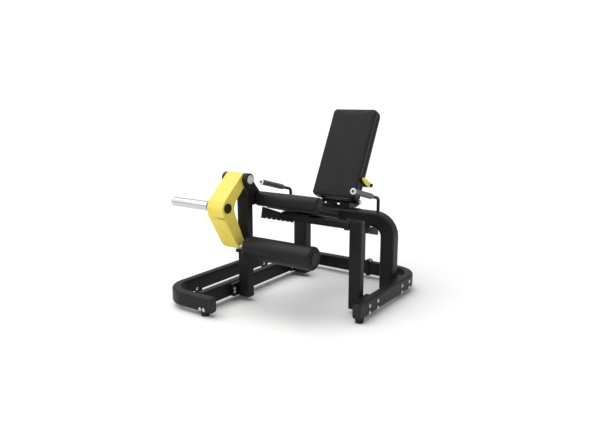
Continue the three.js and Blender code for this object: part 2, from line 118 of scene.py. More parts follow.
def vary_color(look, scale, dark, light):
    """The colour drifts slowly between two shades."""
    noise = add(look, "ShaderNodeTexNoise", Scale=scale, Detail=4.0, Roughness=0.6)
    ramp = add(look, "ShaderNodeValToRGB")
    ramp.color_ramp.elements[0].position = 0.3
    ramp.color_ramp.elements[1].position = 0.7
    ramp.color_ramp.elements[0].color = (*dark, 1)
    ramp.color_ramp.elements[1].color = (*light, 1)
    link(look, place(look), noise.inputs["Vector"])
    link(look, noise.outputs["Fac"], ramp.inputs["Fac"])
    shader = look.node_tree.nodes["Principled BSDF"]
    link(look, ramp.outputs["Color"], shader.inputs["Base Color"])


def vary_roughness(look, scale, low_value, high_value, stretch=(1, 1, 1)):
    mapping = add(look, "ShaderNodeMapping")
    mapping.inputs["Scale"].default_value = stretch
    noise = add(look, "ShaderNodeTexNoise", Scale=scale, Detail=5.0)
    spread = add(look, "ShaderNodeMapRange")
    spread.inputs["To Min"].default_value = low_value
    spread.inputs["To Max"].default_value = high_value
    link(look, place(look), mapping.inputs["Vector"])
    link(look, mapping.outputs["Vector"], noise.inputs["Vector"])
    link(look, noise.outputs["Fac"], spread.inputs["Value"])
    shader = look.node_tree.nodes["Principled BSDF"]
    link(look, spread.outputs["Result"], shader.inputs["Roughness"])


def bump(look, height, strength, distance):
    node = add(look, "ShaderNodeBump")
    node.inputs["Strength"].default_value = strength
    node.inputs["Distance"].default_value = distance
    link(look, height, node.inputs["Height"])
    shader = look.node_tree.nodes["Principled BSDF"]
    link(look, node.outputs["Normal"], shader.inputs["Normal"])


def powder_coat(name, dark, light, roughness, specular):
    """Baked powder paint: a fine orange-peel skin, slightly uneven in gloss."""
    look = material(name, light, roughness, specular=specular)
    vary_color(look, 9, dark, light)
    vary_roughness(look, 40, roughness - 0.05, roughness + 0.07)
    peel = add(look, "ShaderNodeTexNoise", Scale=900.0, Detail=2.0)
    link(look, place(look), peel.inputs["Vector"])
    bump(look, peel.outputs["Fac"], 0.12, 0.0002)
    return look


def leatherette(name, dark, light, roughness):
    """Upholstery vinyl: a pebble grain of small cells over a slower crease."""
    look = material(name, light, roughness, specular=0.2)
    vary_color(look, 14, dark, light)
    vary_roughness(look, 30, roughness - 0.06, roughness + 0.08)
    grain = add(look, "ShaderNodeTexVoronoi", feature="SMOOTH_F1", Scale=620.0)
    crease = add(look, "ShaderNodeTexNoise", Scale=60.0, Detail=3.0)
    both = add(look, "ShaderNodeMath", operation="ADD")
    link(look, place(look), grain.inputs["Vector"])
    link(look, place(look), crease.inputs["Vector"])
    link(look, grain.outputs["Distance"], both.inputs[0])
    link(look, crease.outputs["Fac"], both.inputs[1])
    bump(look, both.outputs["Value"], 0.25, 0.0005)
    return look


def moulded_plastic(name, dark, light, roughness):
    look = material(name, light, roughness, specular=0.4)
    vary_color(look, 25, dark, light)
    vary_roughness(look, 80, roughness - 0.06, roughness + 0.06)
    texture = add(look, "ShaderNodeTexNoise", Scale=1500.0, Detail=1.0)
    link(look, place(look), texture.inputs["Vector"])
    bump(look, texture.outputs["Fac"], 0.1, 0.0001)
    return look


def polished_steel(name, tint, roughness):
    """Chrome over ground steel: faint turning marks across the length of a bar."""
    look = material(name, tint, roughness, metallic=1.0)
    vary_color(look, 18, tuple(0.9 * c for c in tint), tint)
    vary_roughness(look, 60, roughness - 0.06, roughness + 0.08, stretch=(14, 1, 1))
    marks = add(look, "ShaderNodeTexNoise", Scale=700.0, Detail=2.0)
    link(look, place(look), marks.inputs["Vector"])
    bump(look, marks.outputs["Fac"], 0.03, 0.0001)
    return look


BLACK = powder_coat("black_powder_coat", (0.0065, 0.0065, 0.0068), (0.0095, 0.0095, 0.0098), 0.42, 0.2)
YELLOW = powder_coat("yellow_powder_coat", (0.8, 0.64, 0.085), (0.86, 0.70, 0.10), 0.38, 0.4)
STEEL = polished_steel("bright_steel_plate", (0.60, 0.60, 0.61), 0.28)
PLASTIC = moulded_plastic("black_moulding", (0.005, 0.005, 0.005), (0.008, 0.008, 0.008), 0.45)
LEATHER = leatherette("black_leatherette", (0.007, 0.007, 0.0072), (0.0105, 0.0105, 0.0108), 0.44)
RUBBER = moulded_plastic("foot_rubber_skin", (0.009, 0.009, 0.009), (0.014, 0.014, 0.014), 0.75)
GRIP = moulded_plastic("grip_rubber_skin", (0.07, 0.07, 0.073), (0.10, 0.10, 0.105), 0.3)
THREAD = material("seam_thread", (0.012, 0.012, 0.012), 0.7)
vary_color(THREAD, 300, (0.006, 0.006, 0.006), (0.02, 0.02, 0.02))

LOOKS = {
    "black_paint": BLACK,
    "yellow_paint": YELLOW,
    "bright_steel": STEEL,
    "black_plastic": PLASTIC,
    "pad_leather": LEATHER,
    "foot_rubber": RUBBER,
    "grip_rubber": GRIP,
}

# ---- Mesh tools ----
SHARP = math.radians(35)
BODY_OF = {n: body for body, members in frame["record"]["behaviour"]["bodies"].items() for n in members}
SLOT_OF = {p["node"]: p["material_slot"] for p in frame["record"]["subparts"]}


def new_object(name, bm):
    mesh = bpy.data.meshes.new(name)
    bmesh.ops.recalc_face_normals(bm, faces=bm.faces)
    bm.to_mesh(mesh)
    bm.free()
    obj = bpy.data.objects.new(name, mesh)
    scene.collection.objects.link(obj)
    return obj


def smooth(obj):
    """Rounded edges shade smoothly and flat faces stay flat."""
    obj.data.shade_smooth()
    obj.data.set_sharp_from_angle(angle=SHARP)
    weights = obj.modifiers.new("Weighted", "WEIGHTED_NORMAL")
    weights.keep_sharp = True
    weights.weight = 100


def dress(obj, *nodes, body=None, slot=None, look=None):
    """Gives a piece its material, its body and the CAD nodes it stands for."""
    slot = slot or SLOT_OF[nodes[0]]
    obj.data.materials.clear()
    obj.data.materials.append(look or LOOKS[slot])
    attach(obj, body or BODY_OF[nodes[0]])
    if nodes:
        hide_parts(*nodes)
    return obj


def rounded_rect(u0, v0, u1, v1, corner, steps=8):
    points = []
    centres = [(u1, v0, -90), (u1, v1, 0), (u0, v1, 90), (u0, v0, 180)]
    for u, v, start in centres:
        cu = u - corner if u == u1 else u + corner
        cv = v - corner if v == v1 else v + corner
        for i in range(steps + 1):
            a = math.radians(start + 90 * i / steps)
            points.append((cu + corner * math.cos(a), cv + corner * math.sin(a)))
    return points


def soft_outline(corners, steps=8):
    """A polygon whose corners, each (u, v, cut), are rounded by quadratic curves."""
    points = []
    for i, (u, v, size) in enumerate(corners):
        corner = Vector((u, v))
        before = Vector(corners[i - 1][:2])
        after = Vector(corners[(i + 1) % len(corners)][:2])
        start = corner + (before - corner).normalized() * size
        end = corner + (after - corner).normalized() * size
        for k in range(steps + 1):
            t = k / steps
            point = start * (1 - t) ** 2 + corner * (2 * t * (1 - t)) + end * t * t
            points.append(tuple(point))
    return points


def lift(axis, u, v, w):
    """(u, v) are the two axes other than the prism's own, in X, Y, Z order."""
    order = {"x": (w, u, v), "y": (u, w, v), "z": (u, v, w)}
    return Vector(order[axis])


def prism_mesh(bm, axis, outline, start, end, edge=0.0, segments=3):
    """A solid between two planes, with its rims rounded by edge."""
    near = [bm.verts.new(lift(axis, u, v, start)) for u, v in outline]
    far = [bm.verts.new(lift(axis, u, v, end)) for u, v in outline]
    caps = [bm.faces.new(near), bm.faces.new(list(reversed(far)))]
    for i in range(len(outline)):
        j = (i + 1) % len(outline)
        bm.faces.new([near[j], near[i], far[i], far[j]])
    if edge > 0:
        rims = list({e for cap in caps for e in cap.edges})
        bmesh.ops.bevel(
            bm, geom=rims, offset=edge, segments=segments, profile=0.5, affect="EDGES", clamp_overlap=True
        )


def prism(name, axis, outline, start, end, edge=0.0015, segments=3):
    bm = bmesh.new()
    prism_mesh(bm, axis, outline, start, end, edge, segments)
    obj = new_object(name, bm)
    smooth(obj)
    return obj


def lathe_mesh(bm, profile, y, z, sides=64):
    """Turns a profile of (x, radius) about a line along X through (y, z). Radius 0 closes an end."""
    rings = []
    for x, radius in profile:
        if radius == 0:
            rings.append([bm.verts.new((x, y, z))])
            continue
        ring = []
        for i in range(sides):
            a = 2 * math.pi * i / sides
            ring.append(bm.verts.new((x, y + radius * math.cos(a), z + radius * math.sin(a))))
        rings.append(ring)
    for one, two in zip(rings, rings[1:]):
        for i in range(sides):
            j = (i + 1) % sides
            corners = [one[i % len(one)], one[j % len(one)], two[j % len(two)], two[i % len(two)]]
            bm.faces.new(list(dict.fromkeys(corners)))


def lathe(name, profile, y, z, sides=64):
    bm = bmesh.new()
    lathe_mesh(bm, profile, y, z, sides)
    obj = new_object(name, bm)
    smooth(obj)
    return obj


def button(x0, x1, radius, edge, dish=0.0, steps=4):
    """Profile of a disc from x0 to x1 whose outer rim at x1 is rounded; dish sinks its middle."""
    way = 1 if x1 > x0 else -1
    profile = [(x0, 0), (x0, radius)]
    for i in range(steps + 1):
        a = math.pi / 2 * i / steps
        profile.append((x1 - way * edge * (1 - math.sin(a)), radius - edge * (1 - math.cos(a))))
    profile.append((x1, radius - 2.2 * edge))
    profile.append((x1 - way * dish, radius - 2.8 * edge))
    profile.append((x1 - way * dish, 0))
    return profile


def bent_route(points, radius, steps=20):
    """Stations (place, direction) along straight runs joined by arcs."""
    stations = [(points[0], (points[1] - points[0]).normalized())]
    for before, corner, after in zip(points, points[1:], points[2:]):
        into = (corner - before).normalized()
        out = (after - corner).normalized()
        angle = into.angle(out)
        side = (out - into * into.dot(out)).normalized()
        centre = corner - into * (radius * math.tan(angle / 2)) + side * radius
        for i in range(steps + 1):
            a = angle * i / steps
            place_here = centre - side * (radius * math.cos(a)) + into * (radius * math.sin(a))
            stations.append((place_here, into * math.cos(a) + side * math.sin(a)))
    last = (points[-1] - points[-2]).normalized()
    stations.append((points[-1], last))
    return stations


def sweep_mesh(bm, section, stations, upright):
    """Carries a section of (across, up) points along stations; upright is the direction of up."""
    rings = []
    for spot, along in stations:
        across = along.cross(upright).normalized()
        rings.append([bm.verts.new(spot + across * u + upright * v) for u, v in section])
    for one, two in zip(rings, rings[1:]):
        for i in range(len(section)):
            j = (i + 1) % len(section)
            bm.faces.new([one[i], one[j], two[j], two[i]])
    bm.faces.new(list(reversed(rings[0])))
    bm.faces.new(rings[-1])


def sweep(name, section, points, radius, upright, steps=20):
    bm = bmesh.new()
    sweep_mesh(bm, section, bent_route(points, radius, steps), Vector(upright))
    obj = new_object(name, bm)
    smooth(obj)
    return obj


def circle(radius, sides=32):
    angles = [2 * math.pi * i / sides for i in range(sides)]
    return [(radius * math.cos(a), radius * math.sin(a)) for a in angles]


def joined(name, *objects):
    """One object out of several, for pieces welded together."""
    bm = bmesh.new()
    for obj in objects:
        bm.from_mesh(obj.data)
        bpy.data.objects.remove(obj)
    whole = new_object(name, bm)
    smooth(whole)
    return whole


def refined(name, node, edge, segments=3, limit=28):
    """The CAD solid with its facets merged and its sharp edges rounded."""
    bm = bmesh.new()
    bm.from_mesh(frame["nodes"][node].data)
    bmesh.ops.remove_doubles(bm, verts=bm.verts, dist=1e-5)
    bmesh.ops.dissolve_limit(bm, angle_limit=math.radians(0.6), verts=bm.verts, edges=bm.edges)
    turn = math.radians(limit)
    hard = [e for e in bm.edges if len(e.link_faces) == 2 and e.calc_face_angle(0) > turn]
    bmesh.ops.bevel(
        bm, geom=hard, offset=edge, segments=segments, profile=0.5, affect="EDGES", clamp_overlap=True
    )
    obj = new_object(name, bm)
    smooth(obj)
    return dress(obj, node)


# ---- Floor frame ----
RAIL_LOW = low("inner_base_rail").z
RAIL_HIGH = high("inner_base_rail").z
RAIL_WIDTH = high("inner_base_rail").x - low("inner_base_rail").x
RAIL_CORNER = 0.012
RAIL_BEND = 0.130
RAIL_FRONT = low("inner_base_rail").y - RAIL_WIDTH - 0.0003
RAIL_REAR = high("left_base_loop").y
RAIL_LEFT = low("left_base_loop").x
RAIL_RIGHT = high("right_base_rail").x
JOINT_X = (high("left_base_loop").x + low("right_base_rail").x) / 2


def rail_section():
    tall = (RAIL_HIGH - RAIL_LOW) / 2
    half = RAIL_WIDTH / 2
    return rounded_rect(-half, -tall, half, tall, RAIL_CORNER)


def base_rails():
    z = (RAIL_LOW + RAIL_HIGH) / 2
    half = RAIL_WIDTH / 2
    flange = 0.010
    left = RAIL_LEFT + half
    right = RAIL_RIGHT - half
    rear = RAIL_REAR - half
    front = RAIL_FRONT + half
    open_end = low("left_loop_end_cap").x
    left_route = [
        Vector((open_end, front, z)),
        Vector((left, front, z)),
        Vector((left, rear, z)),
        Vector((JOINT_X - flange / 2, rear, z)),
    ]
    right_route = [
        Vector((JOINT_X + flange / 2, rear, z)),
        Vector((right, rear, z)),
        Vector((right, low("right_base_rail").y, z)),
    ]
    plate = rounded_rect(rear - half - 0.006, RAIL_LOW - 0.008, rear + half - 0.001, RAIL_HIGH + 0.012, 0.008)
    for side, node, route, x0, x1 in (
        ("left", "left_base_loop", left_route, JOINT_X - flange, JOINT_X - 0.0002),
        ("right", "right_base_rail", right_route, JOINT_X + 0.0002, JOINT_X + flange),
    ):
        tube = sweep(side + "_tube", rail_section(), route, RAIL_BEND, (0, 0, 1))
        flange_plate = prism(side + "_plate", "x", plate, x0, x1)
        dress(joined(side + "_floor_rail", tube, flange_plate), node)
    lo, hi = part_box("inner_base_rail")
    outline = rounded_rect(lo.x, RAIL_LOW, hi.x, RAIL_HIGH, RAIL_CORNER)
    inner = prism("inner_floor_rail", "y", outline, lo.y, hi.y, 0)
    dress(inner, "inner_base_rail")


def foot(node, grooves=3):
    """A round rubber foot: a disc with a chamfered sole and grooves round it."""
    (x0, y0, _), (x1, y1, top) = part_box(node)
    x, y, radius = (x0 + x1) / 2, (y0 + y1) / 2, (x1 - x0) / 2

    def ring(size):
        return [(x + u, y + v) for u, v in circle(size, 48)]

    bm = bmesh.new()
    prism_mesh(bm, "z", ring(radius - 0.0006), 0.0, top, 0.003)
    for i in range(grooves):
        z = 0.005 + i * (top - 0.008) / grooves
        prism_mesh(bm, "z", ring(radius), z, z + 0.0035, 0.0008)
    obj = new_object(node.replace("_foot", "_shoe"), bm)
    smooth(obj)
    dress(obj, node)


def end_cap(node, axis):
    """A moulded plug in an open tube end, with a shallow panel in its face."""
    lo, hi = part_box(node)
    if axis == "y":
        ring = rounded_rect(lo.x, lo.z, hi.x, hi.z, RAIL_CORNER)
        inner = rounded_rect(lo.x + 0.008, lo.z + 0.008, hi.x - 0.008, hi.z - 0.008, 0.006)
        start, end = hi.y, lo.y
    else:
        ring = rounded_rect(lo.y, lo.z, hi.y, hi.z, RAIL_CORNER)
        inner = rounded_rect(lo.y + 0.008, lo.z + 0.008, hi.y - 0.008, hi.z - 0.008, 0.006)
        start, end = (lo.x, hi.x) if node != "arch_end_cap" else (hi.x, lo.x)
    way = 1 if end > start else -1
    bm = bmesh.new()
    prism_mesh(bm, axis, ring, start, end - way * 0.001, 0.001)
    prism_mesh(bm, axis, inner, start + way * 0.001, end, 0.0008)
    obj = new_object(node.replace("_cap", "_plug"), bm)
    smooth(obj)
    dress(obj, node)


def bolt_mesh(bm, x, y, z, way, radius=0.0075, stand=0.0055):
    """A domed chrome cap over a bolt head, on a washer, facing along X."""
    washer = radius * 1.35
    lathe_mesh(
        bm,
        [
            (x, 0),
            (x, washer),
            (x + way * 0.0012, washer),
            (x + way * 0.0016, washer - 0.0005),
            (x + way * 0.0016, radius),
            (x + way * (stand - 0.0022), radius),
            (x + way * (stand - 0.0007), radius - 0.0014),
            (x + way * stand, radius - 0.0035),
            (x + way * stand, 0),
        ],
        y,
        z,
        24,
    )


def bolts(name, places, body="frame", nodes=()):
    bm = bmesh.new()
    for spot, way in places:
        bolt_mesh(bm, spot.x, spot.y, spot.z, way)
    obj = new_object(name, bm)
    smooth(obj)
    return dress(obj, *nodes, body=body, slot="bright_steel")


def front_bolts(name, places):
    """The same bolts turned to face along -Y."""
    bm = bmesh.new()
    for spot in places:
        bolt_mesh(bm, 0.0, 0.0, 0.0, 1)
        fresh = [v for v in bm.verts if not v.tag]
        turn = Matrix.Translation(spot) @ Matrix.Rotation(math.radians(-90), 4, "Z")
        bmesh.ops.transform(bm, matrix=turn, verts=fresh)
        for v in bm.verts:
            v.tag = True
    obj = new_object(name, bm)
    smooth(obj)
    return dress(obj, body="frame", slot="bright_steel")


LEFT_FEET = ("left_middle_foot", "rear_left_foot")


def frame_bolts():
    upper = RAIL_HIGH - 0.031
    lower = RAIL_LOW + 0.012
    inset = 0.012
    outer = RAIL_RIGHT - SEAT_X + 0.0003
    pairs = [
        low("right_upright_flange").y - RAIL_Y + inset,
        middle("right_rail_bolt").y - RAIL_Y,
        low("right_leg_flange").y - RAIL_Y + inset,
        high("right_leg_flange").y - RAIL_Y - inset,
    ]
    spots = [(at(outer, y, z), 1) for y in pairs for z in (upper, lower)]
    bolts("right_rail_bolt_heads", spots, nodes=("right_rail_bolt",))
    left_face = low("inner_base_rail").x - SEAT_X - 0.0003
    ends = [low(n).y - RAIL_Y + inset for n in ("left_upright_flange", "left_leg_flange")]
    ends += [high(n).y - RAIL_Y - inset for n in ("left_upright_flange", "left_leg_flange")]
    bolts("inner_rail_bolt_heads", [(at(left_face, y, z), -1) for y in ends for z in (upper, lower)])
    flange_spots = []
    for node, way in (("right_upright_flange", -1), ("right_leg_flange", -1)):
        x = low(node).x
        for y in (low(node).y + inset, high(node).y - inset):
            for z in (RAIL_HIGH - 0.03, RAIL_LOW + 0.03):
                flange_spots.append((Vector((x, y, z)), way))
    for node in ("left_upright_flange", "left_leg_flange"):
        x = high(node).x
        for y in (low(node).y + inset, high(node).y - inset):
            for z in (RAIL_HIGH - 0.03, RAIL_LOW + 0.03):
                flange_spots.append((Vector((x, y, z)), 1))
    bolts("flange_bolt_heads", flange_spots)
    rear = RAIL_REAR - RAIL_WIDTH / 2
    joint_spots = []
    for y, z in ((rear - 0.012, RAIL_HIGH + 0.004), (rear + 0.012, RAIL_HIGH + 0.004)):
        joint_spots.append((Vector((JOINT_X + 0.0101, y, z)), 1))
        joint_spots.append((Vector((JOINT_X - 0.0101, y, z)), -1))
    bolts("rear_joint_bolt_heads", joint_spots)
    open_end = low("left_loop_end_cap").x
    shoe_spots = [Vector((open_end - back, RAIL_FRONT, RAIL_LOW + 0.014)) for back in (0.064, 0.039)]
    front_bolts("front_rail_bolt_heads", shoe_spots)
    inner_face = RAIL_LEFT + RAIL_WIDTH + 0.0003
    shoe_spots = [(Vector((inner_face, middle(n).y - 0.038, RAIL_LOW + 0.014)), 1) for n in LEFT_FEET]
    bolts("left_rail_bolt_heads", shoe_spots)


# ---- Uprights, arch and seat support ----


def post(name, node, corner, edge=0.002):
    lo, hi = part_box(node)
    obj = prism(name, "z", rounded_rect(lo.x, lo.y, hi.x, hi.y, corner), lo.z, hi.z, edge)
    return dress(obj, node)


def standing_frame():
    post("left_post", "left_upright", 0.007)
    post("right_post", "right_upright", 0.007)
    post("left_rear_leg", "left_leg", 0.014)
    lo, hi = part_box("arch_frame")
    wide = 0.084
    deep = (hi.y - lo.y) / 2
    y = (lo.y + hi.y) / 2
    leg_x = hi.x - wide / 2
    top = hi.z - wide / 2
    route = [Vector((leg_x, y, lo.z)), Vector((leg_x, y, top)), Vector((lo.x, y, top))]
    section = rounded_rect(-wide / 2, -deep, wide / 2, deep, 0.014)
    dress(sweep("arch_tube", section, route, 0.095, (0, 1, 0), 28), "arch_frame")
    lo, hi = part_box("rear_column")
    half = (hi.x - lo.x) / 2
    x = (hi.x + lo.x) / 2
    deep = 0.023
    route = [
        Vector((x, hi.y - deep, lo.z)),
        Vector((x, hi.y - deep, top)),
        Vector((x, lo.y, top)),
    ]
    section = rounded_rect(-deep, -half, deep, half, 0.008)
    dress(sweep("rear_column_tube", section, route, 0.080, (1, 0, 0), 24), "rear_column")
    for node in ("left_upright_flange", "right_upright_flange", "right_leg_flange", "left_leg_flange"):
        refined(node + "_plate", node, 0.002)
    refined("cross_tube", "front_cross_tube", 0.003)
    refined("seat_spine_plate", "seat_spine", 0.003)
    refined("arm_stop", "stop_bracket", 0.003)


def racks():
    """Side plates whose lower edge is a row of round notches."""
    for node in ("left_rack", "right_rack"):
        refined(node + "_plate", node, 0.0012, 2, 40)


# ---- Pivot tower and arm ----
ARM_LEFT = low("swing_arm").x
ARM_RIGHT = high("swing_arm").x
ARM_EDGE = 0.009
ARM_OUTLINE = [
    (-0.077, 0.716, 0.014),
    (-0.229, 0.582, 0.008),
    (-0.249, 0.541, 0.018),
    (-0.232, 0.494, 0.010),
    (-0.128, 0.320, 0.012),
    (-0.096, 0.306, 0.012),
    (-0.072, 0.332, 0.012),
    (-0.093, 0.378, 0.010),
    (-0.150, 0.508, 0.010),
    (-0.157, 0.540, 0.014),
    (-0.142, 0.572, 0.012),
    (-0.072, 0.640, 0.012),
    (-0.024, 0.662, 0.020),
    (-0.030, 0.706, 0.020),
]


def cylinder_x(radius, x0, x1, y, z):
    bm = bmesh.new()
    lathe_mesh(bm, [(x0, 0), (x0, radius), (x1, radius), (x1, 0)], y, z, 48)
    return new_object("cutter", bm)


def carve(obj, cutters):
    """Cuts bores out of a solid and keeps the result."""
    for cutter in cutters:
        hole = obj.modifiers.new("Hole", "BOOLEAN")
        hole.object = cutter
        hole.solver = "EXACT"
    graph = bpy.context.evaluated_depsgraph_get()
    made = bpy.data.meshes.new_from_object(obj.evaluated_get(graph))
    obj.modifiers.clear()
    obj.data = made
    for cutter in cutters:
        bpy.data.objects.remove(cutter)
    smooth(obj)
    return obj


def swing_arm():
    outline = [(RAIL_Y + y, z) for y, z in soft_outline(ARM_OUTLINE)]
    arm = prism("swing_arm_casting", "x", outline, ARM_LEFT, ARM_RIGHT, ARM_EDGE, 6)
    arm.modifiers.clear()
    horn = middle("weight_horn")
    cutters = [
        cylinder_x(0.0243, ARM_LEFT - 0.01, ARM_RIGHT + 0.01, PIVOT.y, PIVOT.z),
        cylinder_x(0.0123, ARM_LEFT - 0.01, ARM_RIGHT + 0.01, horn.y, horn.z),
        cylinder_x(0.0143, low("roller_axle").x - 0.001, ARM_RIGHT + 0.01, ROLLER.y, ROLLER.z),
    ]
    dress(carve(arm, cutters), "swing_arm")


def horn():
    lo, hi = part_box("weight_horn")
    y = (lo.y + hi.y) / 2
    z = (lo.z + hi.z) / 2
    radius = (hi.z - lo.z) / 2
    collar = low("horn_collar").x
    steps = 6
    profile = [(lo.x, 0), (lo.x, radius - 0.006)]
    for i in range(1, steps + 1):
        a = math.pi / 2 * i / steps
        profile.append((lo.x + 0.006 * (1 - math.cos(a)), radius - 0.006 + 0.006 * math.sin(a)))
    root = ARM_LEFT - 0.0003
    profile += [(root, radius), (root, 0.012), (ARM_RIGHT, 0.012), (ARM_RIGHT, 0)]
    dress(lathe("plate_horn", profile, y, z, 72), "weight_horn")
    rim = (high("horn_collar").z - low("horn_collar").z) / 2
    bore = radius + 0.0003
    ring = [
        (root, bore),
        (root, rim),
        (collar + 0.002, rim),
        (collar + 0.0006, rim - 0.0006),
        (collar, rim - 0.002),
        (collar, bore),
        (root, bore),
    ]
    dress(lathe("plate_collar", ring, y, z), "horn_collar")
    cap_in, cap_out = low("arm_cap").x, high("arm_cap").x
    dress(lathe("arm_plug", button(cap_in, cap_out, 0.026, 0.002, 0.0022), y, z), "arm_cap")


def pivot():
    y, z = PIVOT.y, PIVOT.z
    refined("pivot_tower_plate", "pivot_tower", 0.003, 3, 30)
    cap_in, cap_out = low("pivot_cap").x, high("pivot_cap").x
    dress(lathe("pivot_cover", button(cap_in, cap_out, 0.024, 0.0018, 0.0008), y, z), "pivot_cap")
    disc_out, disc_in = low("pivot_end_disc").x, high("pivot_end_disc").x
    disc = (high("pivot_end_disc").z - low("pivot_end_disc").z) / 2
    dress(lathe("pivot_outer_disc", button(disc_in, disc_out, disc, 0.005, 0.001), y, z), "pivot_end_disc")
    lo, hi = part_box("pivot_shaft")
    shaft = [(lo.x, 0), (lo.x, 0.015), (hi.x, 0.015), (hi.x, 0)]
    dress(lathe("pivot_axle", shaft, y, z), "pivot_shaft")
    for node in ("left_bearing", "right_bearing"):
        lo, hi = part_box(node)
        race = [(lo.x, 0.0153), (lo.x, 0.024), (hi.x, 0.024), (hi.x, 0.0153), (lo.x, 0.0153)]
        dress(lathe(node + "_race", race, y, z), node)


def roller():
    y, z = ROLLER.y, ROLLER.z
    lo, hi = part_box("roller_pad")
    x0, x1 = lo.x, hi.x
    radius = (hi.z - lo.z) / 2
    edge = 0.013
    steps = 8
    profile = [(x0, 0.0192), (x0, radius - edge)]
    for i in range(1, steps + 1):
        a = math.pi / 2 * i / steps
        profile.append((x0 + edge * (1 - math.cos(a)), radius - edge + edge * math.sin(a)))
    spans = 24
    for i in range(1, spans):
        t = i / spans
        slack = 0.0006 * math.sin(math.pi * t) ** 0.5 - 0.0006
        profile.append((x0 + edge + (x1 - x0 - 2 * edge) * t, radius + slack))
    for i in range(steps, 0, -1):
        a = math.pi / 2 * i / steps
        profile.append((x1 - edge * (1 - math.cos(a)), radius - edge + edge * math.sin(a)))
    profile += [(x1, radius - edge), (x1, 0.0192), (x0, 0.0192)]
    pad = lathe("roller_cushion", profile, y, z, 96)
    dress(pad, "roller_pad")
    bm = bmesh.new()
    r = radius - 0.0014
    for x in (x0 + edge * 0.75, x1 - edge * 0.75):
        turns = [math.tau * k / 8 for k in range(9)]
        sides = [(x + 0.0013 * math.cos(a), r + 0.0013 * math.sin(a)) for a in turns]
        lathe_mesh(bm, sides, y, z, 96)
    piping = new_object("roller_piping", bm)
    bmesh_clean(piping)
    smooth(piping)
    dress(piping, body="roller", slot="pad_leather", look=THREAD)
    lo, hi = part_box("roller_end_disc")
    dress(lathe("roller_end_plate", button(lo.x, hi.x, 0.035, 0.002, 0.0015), y, z), "roller_end_disc")
    lo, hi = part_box("roller_sleeve")
    sleeve = [(lo.x, 0.0143), (lo.x, 0.0186), (hi.x, 0.0186), (hi.x, 0.0143), (lo.x, 0.0143)]
    dress(lathe("roller_tube", sleeve, y, z), "roller_sleeve")
    lo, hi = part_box("roller_axle")
    axle = [(lo.x, 0), (lo.x, 0.014), (hi.x, 0.014), (hi.x, 0)]
    dress(lathe("roller_shaft", axle, y, z), "roller_axle")


def bmesh_clean(obj):
    """Welds coincident points, such as the two ends of a closed profile."""
    bm = bmesh.new()
    bm.from_mesh(obj.data)
    bmesh.ops.remove_doubles(bm, verts=bm.verts, dist=1e-6)
    bmesh.ops.recalc_face_normals(bm, faces=bm.faces)
    bm.to_mesh(obj.data)
    bm.free()


# ---- Cushions ----
VOXEL = 0.005
FRAMES = 20


def remeshed(obj, size=VOXEL):
    remesh = obj.modifiers.new("Remesh", "REMESH")
    remesh.mode = "VOXEL"
    remesh.voxel_size = size
    graph = bpy.context.evaluated_depsgraph_get()
    made = bpy.data.meshes.new_from_object(obj.evaluated_get(graph))
    obj.modifiers.clear()
    obj.data = made


def inflate(obj, cap, held):
    """Blows the cover up as cloth; held(point) is true where it is stapled to its board."""
    rest = [v.co.copy() for v in obj.data.vertices]
    pinned = obj.vertex_groups.new(name="held")
    pinned.add([i for i, p in enumerate(rest) if held(p)], 1.0, "REPLACE")
    cloth = obj.modifiers.new("Cloth", "CLOTH")
    settings = cloth.settings
    settings.quality = 5
    settings.use_pressure = True
    settings.uniform_pressure_force = 4.0
    settings.effector_weights.gravity = 0.0
    settings.vertex_group_mass = "held"
    settings.tension_stiffness = 25
    settings.compression_stiffness = 25
    cloth.point_cache.frame_start = 1
    cloth.point_cache.frame_end = FRAMES
    scene.frame_start = 1
    scene.frame_end = FRAMES
    for number in range(1, FRAMES + 1):
        scene.frame_set(number)
    graph = bpy.context.evaluated_depsgraph_get()
    made = bpy.data.meshes.new_from_object(obj.evaluated_get(graph))
    for vertex, start in zip(made.vertices, rest):
        move = vertex.co - start
        if move.length > cap:
            vertex.co = start + move * (cap / move.length)
    obj.modifiers.clear()
    obj.vertex_groups.clear()
    obj.data = made
    scene.frame_set(1)


def finish_cushion(obj, node):
    finer = obj.modifiers.new("Finer", "SUBSURF")
    finer.levels = 1
    finer.render_levels = 1
    obj.data.shade_smooth()
    obj.data.materials.clear()
    obj.data.materials.append(LEATHER)
    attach(obj, BODY_OF[node])
    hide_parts(node)


def block_cushion(name, node, size, place_in, edge, swell, corner):
    """A boxed cushion: size is across, thick, long; local y runs from its face to its board."""
    across, thick, length = size
    bm = bmesh.new()
    outline = rounded_rect(-across / 2 + swell, swell, across / 2 - swell, length - swell, corner)
    prism_mesh(bm, "y", outline, swell, thick, edge, 5)
    obj = new_object(name, bm)
    remeshed(obj)
    inflate(obj, swell, lambda p: p.y > thick - 0.004)
    obj.data.transform(place_in)
    finish_cushion(obj, node)
    return obj


def piping(name, cushion, route, place_in, body):
    """A welt along a seam: a thin cord pressed half way into the cushion's skin."""
    graph = bpy.context.evaluated_depsgraph_get()
    skin = BVHTree.FromObject(cushion, graph)
    inside = cushion.matrix_world.inverted()
    points = []
    for p in route:
        spot, normal, _, _ = skin.find_nearest(inside @ (place_in @ p))
        points.append(cushion.matrix_world @ (spot - normal * 0.0006))
    section = circle(0.0016, 8)
    bm = bmesh.new()
    rings = []
    count = len(points)
    for i, p in enumerate(points):
        along = (points[(i + 1) % count] - points[i - 1]).normalized()
        out = along.cross(place_in.to_3x3() @ Vector((0, 1, 0))).normalized()
        up = along.cross(out)
        rings.append([bm.verts.new(p + out * u + up * v) for u, v in section])
    for i in range(count):
        one, two = rings[i], rings[(i + 1) % count]
        for k in range(8):
            bm.faces.new([one[k], one[(k + 1) % 8], two[(k + 1) % 8], two[k]])
    obj = new_object(name, bm)
    obj.data.shade_smooth()
    dress(obj, body=body, slot="pad_leather", look=THREAD)


